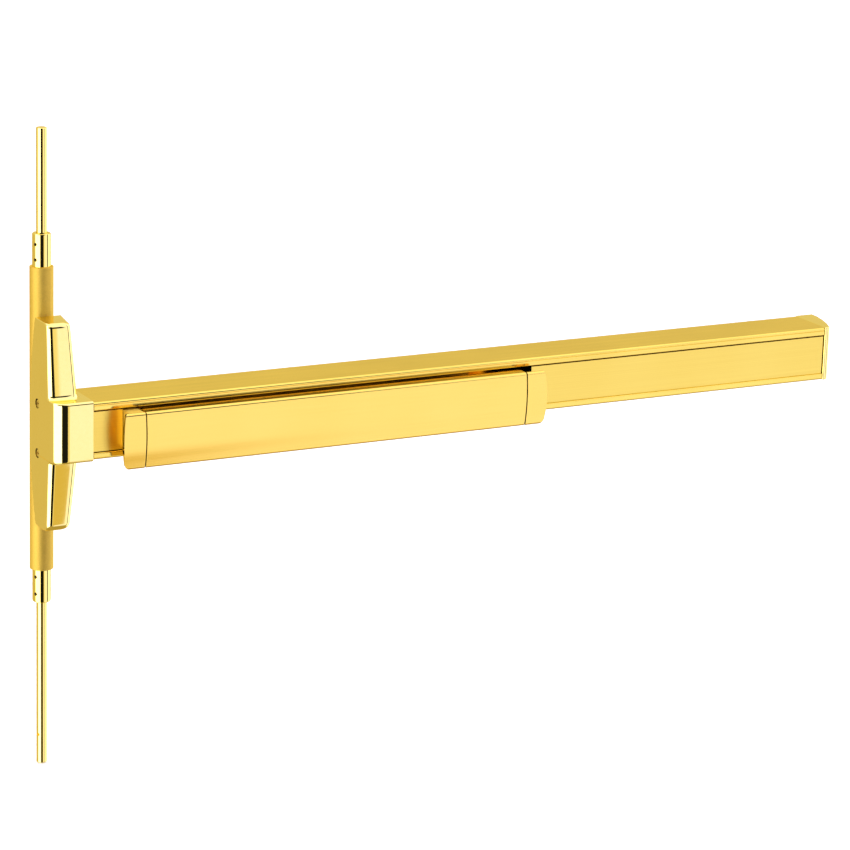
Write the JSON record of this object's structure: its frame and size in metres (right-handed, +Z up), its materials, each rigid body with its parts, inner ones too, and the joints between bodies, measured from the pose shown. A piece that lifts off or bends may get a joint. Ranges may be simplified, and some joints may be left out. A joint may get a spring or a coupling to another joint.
{
  "type": "panic exit bar",
  "caption": "Push-pad panic bar for a narrow-stile door: pressing the pad draws two concealed vertical rods into the centre case.",
  "frame": {"origin": "on the door face, in front of the vertical rods' axis, at the bar's mid-height", "axes": "+X along the bar towards its end cap, +Y into the door, +Z up along the rods"},
  "size_m": [0.87, 0.1007, 0.62],
  "materials": {
    "polished_gold": "polished bright brass",
    "satin_gold": "satin brass",
    "brushed_gold": "brushed lengthwise",
    "steel": "zinc-plated sheet",
    "pin_steel": "hardened, turned",
    "spring_steel": "oiled music wire",
    "black_nylon": "moulded",
    "bumper_rubber": "matt"
  },
  "bodies": {
    "frame": {"case_cover": "polished_gold", "case_chassis": "steel", "cover_side_screws": "satin_gold", "lever_pivot_pins": "pin_steel", "rod_housing": "satin_gold", "housing_saddles": "steel", "saddle_screws": "pin_steel", "channel": "satin_gold", "mounting_rail": "steel", "left_filler_plate": "brushed_gold", "right_filler_plate": "brushed_gold", "mechanism_base": "steel", "base_screws": "pin_steel", "crank_pivot_pins": "pin_steel", "link_guides": "black_nylon", "spring_guide_pin": "pin_steel", "return_spring": "spring_steel", "stop_bumpers": "bumper_rubber", "end_bracket": "steel", "end_cap": "polished_gold", "end_cap_screws": "satin_gold"},
    "push_pad": {"pad_bar": "satin_gold", "pad_cap_left": "satin_gold", "pad_cap_right": "satin_gold", "pad_bracket_left": "steel", "pad_bracket_right": "steel", "pad_bracket_screws": "pin_steel"},
    "left_crank": {"crank_left": "steel", "crank_left_pins": "pin_steel"},
    "right_crank": {"crank_right": "steel", "crank_right_pins": "pin_steel"},
    "link": {"link_bar": "steel", "link_clevis": "steel", "link_screws": "pin_steel", "link_pin": "pin_steel"},
    "upper_lever_body": {"upper_lever": "steel", "upper_lever_pin": "pin_steel"},
    "lower_lever_body": {"lower_lever": "steel", "lower_lever_pin": "pin_steel"},
    "upper_rod_set": {"upper_slide": "steel", "upper_drive_screw": "pin_steel", "upper_coupling": "polished_gold", "upper_rod": "polished_gold", "upper_coupling_pins": "pin_steel"},
    "lower_rod_set": {"lower_slide": "steel", "lower_drive_screw": "pin_steel", "lower_coupling": "polished_gold", "lower_rod": "polished_gold", "lower_coupling_pins": "pin_steel"}
  },
  "joints": [
    {"name": "pad_push", "type": "slide", "parent": "frame", "child": "push_pad", "axis": [0, 1, 0], "range_m": [0, 0.014], "stiffness_N_per_m": 1500, "springref_m": -0.03},
    {"name": "left_crank_turn", "type": "hinge", "parent": "frame", "child": "left_crank", "pos_m": [0.15, -0.0325, 0], "axis": [0, 0, -1], "range_deg": [0, 37.12]},
    {"name": "right_crank_turn", "type": "hinge", "parent": "frame", "child": "right_crank", "pos_m": [0.4, -0.0325, 0], "axis": [0, 0, -1], "range_deg": [0, 37.12]},
    {"name": "link_slide", "type": "slide", "parent": "frame", "child": "link", "axis": [1, 0, 0], "range_m": [0, 0.01273], "deforming": ["return_spring"]},
    {"name": "upper_lever_turn", "type": "hinge", "parent": "frame", "child": "upper_lever_body", "pos_m": [0.018, -0.0085, 0.01684], "axis": [0, -1, 0], "range_deg": [0, 41.42]},
    {"name": "lower_lever_turn", "type": "hinge", "parent": "frame", "child": "lower_lever_body", "pos_m": [0.018, -0.012, -0.01684], "axis": [0, 1, 0], "range_deg": [0, 41.42]},
    {"name": "upper_rod_retract", "type": "slide", "parent": "frame", "child": "upper_rod_set", "axis": [0, 0, -1], "range_m": [0, 0.01273]},
    {"name": "lower_rod_retract", "type": "slide", "parent": "frame", "child": "lower_rod_set", "axis": [0, 0, 1], "range_m": [0, 0.01273]}
  ],
  "couplings": [
    {"joint": "left_crank_turn", "follows": "pad_push", "rad_per_m": 46.259},
    {"joint": "right_crank_turn", "follows": "pad_push", "rad_per_m": 46.259},
    {"joint": "link_slide", "follows": "pad_push", "ratio": 0.90909},
    {"joint": "upper_lever_turn", "follows": "pad_push", "rad_per_m": 51.621},
    {"joint": "lower_lever_turn", "follows": "pad_push", "rad_per_m": 51.621},
    {"joint": "upper_rod_retract", "follows": "pad_push", "ratio": 0.90909},
    {"joint": "lower_rod_retract", "follows": "pad_push", "ratio": 0.90909}
  ]
}
